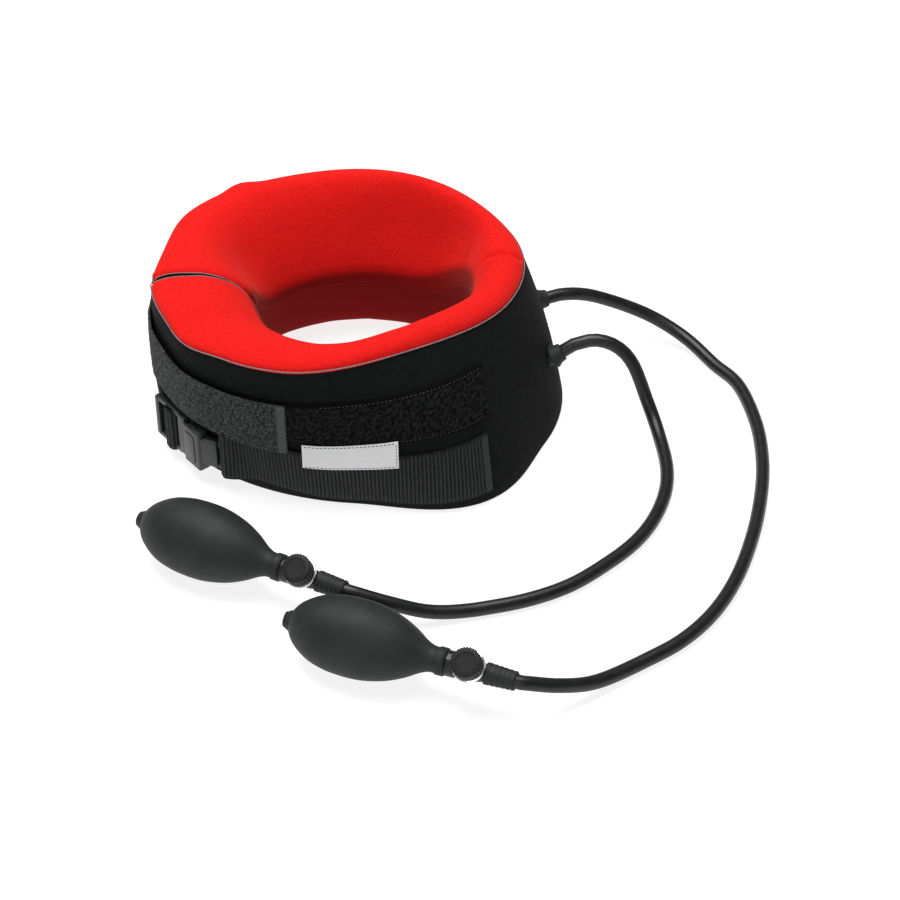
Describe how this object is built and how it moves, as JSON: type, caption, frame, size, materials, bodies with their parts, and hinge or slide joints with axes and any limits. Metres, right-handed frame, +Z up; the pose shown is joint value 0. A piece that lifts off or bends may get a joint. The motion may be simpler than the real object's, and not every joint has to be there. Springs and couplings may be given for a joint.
{
  "type": "cervical traction device",
  "caption": "Inflatable neck collar of a foam shell and fleece cushions that folds at the chin, with strap, buckle, hoses and squeeze bulbs with release valves.",
  "frame": {"origin": "centre of the base of the box round the collar, bulbs and valves, on the surface that they rest on; the collar itself is centred at x 0.0006, y 0.0941", "axes": "+X from the nape closure to the chin, +Y to the wearer's left, +Z up"},
  "size_m": [0.3974, 0.4111, 0.1085],
  "materials": {
    "fleece": "brushed red fleece over soft foam",
    "shell": "black knit laminated to foam",
    "bladder": "sealed air chamber",
    "hook": "dark grey hook tape",
    "loop": "black loop pile",
    "webbing": "ribbed black webbing",
    "label": "plain white woven label",
    "buckle": "satin black acetal",
    "rubber": "matte black rubber",
    "hose": "satin black rubber hose",
    "knob": "black knurled plastic",
    "chrome": "bright chrome"
  },
  "bodies": {
    "right_half": {"shell_right": "shell", "cushion_right": "fleece", "bladder_right": "bladder", "bladder_port_right": "rubber", "hose_grommet_right": "rubber", "loop_patch": "loop", "buckle_webbing": "webbing", "blank_label": "label", "buckle_housing": "buckle", "hose_right": "hose", "hose_sleeve_right": "rubber", "bulb_right": "rubber", "inlet_valve_right": "knob", "inlet_flap_right": "rubber", "valve_body_right": "chrome", "valve_collar_right": "chrome", "hose_left": "hose", "hose_sleeve_left": "rubber", "bulb_left": "rubber", "inlet_valve_left": "knob", "inlet_flap_left": "rubber", "valve_body_left": "chrome", "valve_collar_left": "chrome"},
    "left_half": {"shell_left": "shell", "cushion_left": "fleece", "bladder_left": "bladder", "bladder_port_left": "rubber", "hose_grommet_left": "rubber", "hook_strap_base": "hook", "nape_webbing_base": "webbing"},
    "hook_flap": {"hook_strap": "hook"},
    "plug_webbing": {"nape_webbing": "webbing", "buckle_plug": "buckle"},
    "upper_arm": {"plug_arm_upper": "buckle"},
    "lower_arm": {"plug_arm_lower": "buckle"},
    "right_release": {"release_needle_right": "chrome", "release_knob_right": "knob"},
    "left_release": {"release_needle_left": "chrome", "release_knob_left": "knob"}
  },
  "joints": [
    {"name": "collar_open", "type": "hinge", "parent": "right_half", "child": "left_half", "pos_m": [0.1406, 0.0941, 0], "axis": [0, 0, -1], "range_deg": [0, 38], "deforming": ["hose_left"]},
    {"name": "strap_peel", "type": "hinge", "parent": "left_half", "child": "hook_flap", "pos_m": [-0.1264, 0.0951, 0.06], "axis": [0, 0, -1], "range_deg": [0, 114]},
    {"name": "webbing_swing", "type": "hinge", "parent": "left_half", "child": "plug_webbing", "pos_m": [-0.1212, 0.0951, 0.023], "axis": [0, 0, -1], "range_deg": [0, 57]},
    {"name": "upper_arm_squeeze", "type": "hinge", "parent": "plug_webbing", "child": "upper_arm", "pos_m": [-0.10619, 0.03741, 0.03405], "axis": [0.8572, 0.515, 0], "range_deg": [0, 8], "stiffness_Nm_per_rad": 0.05},
    {"name": "lower_arm_squeeze", "type": "hinge", "parent": "plug_webbing", "child": "lower_arm", "pos_m": [-0.10619, 0.03741, 0.01245], "axis": [-0.8572, -0.515, 0], "range_deg": [0, 8], "stiffness_Nm_per_rad": 0.05},
    {"name": "right_release_turn", "type": "hinge", "parent": "right_half", "child": "right_release", "pos_m": [-0.04447, -0.09907, 0.023], "axis": [-0.329, -0.4698, 0.8192], "range_deg": [0, 360]},
    {"name": "left_release_turn", "type": "hinge", "parent": "right_half", "child": "left_release", "pos_m": [0.03949, -0.18855, 0.023], "axis": [-0.2798, -0.5007, 0.8192], "range_deg": [0, 360]}
  ],
  "couplings": [
    {"joint": "strap_peel", "follows": "collar_open", "ratio": 3},
    {"joint": "webbing_swing", "follows": "collar_open", "ratio": 1.5}
  ]
}
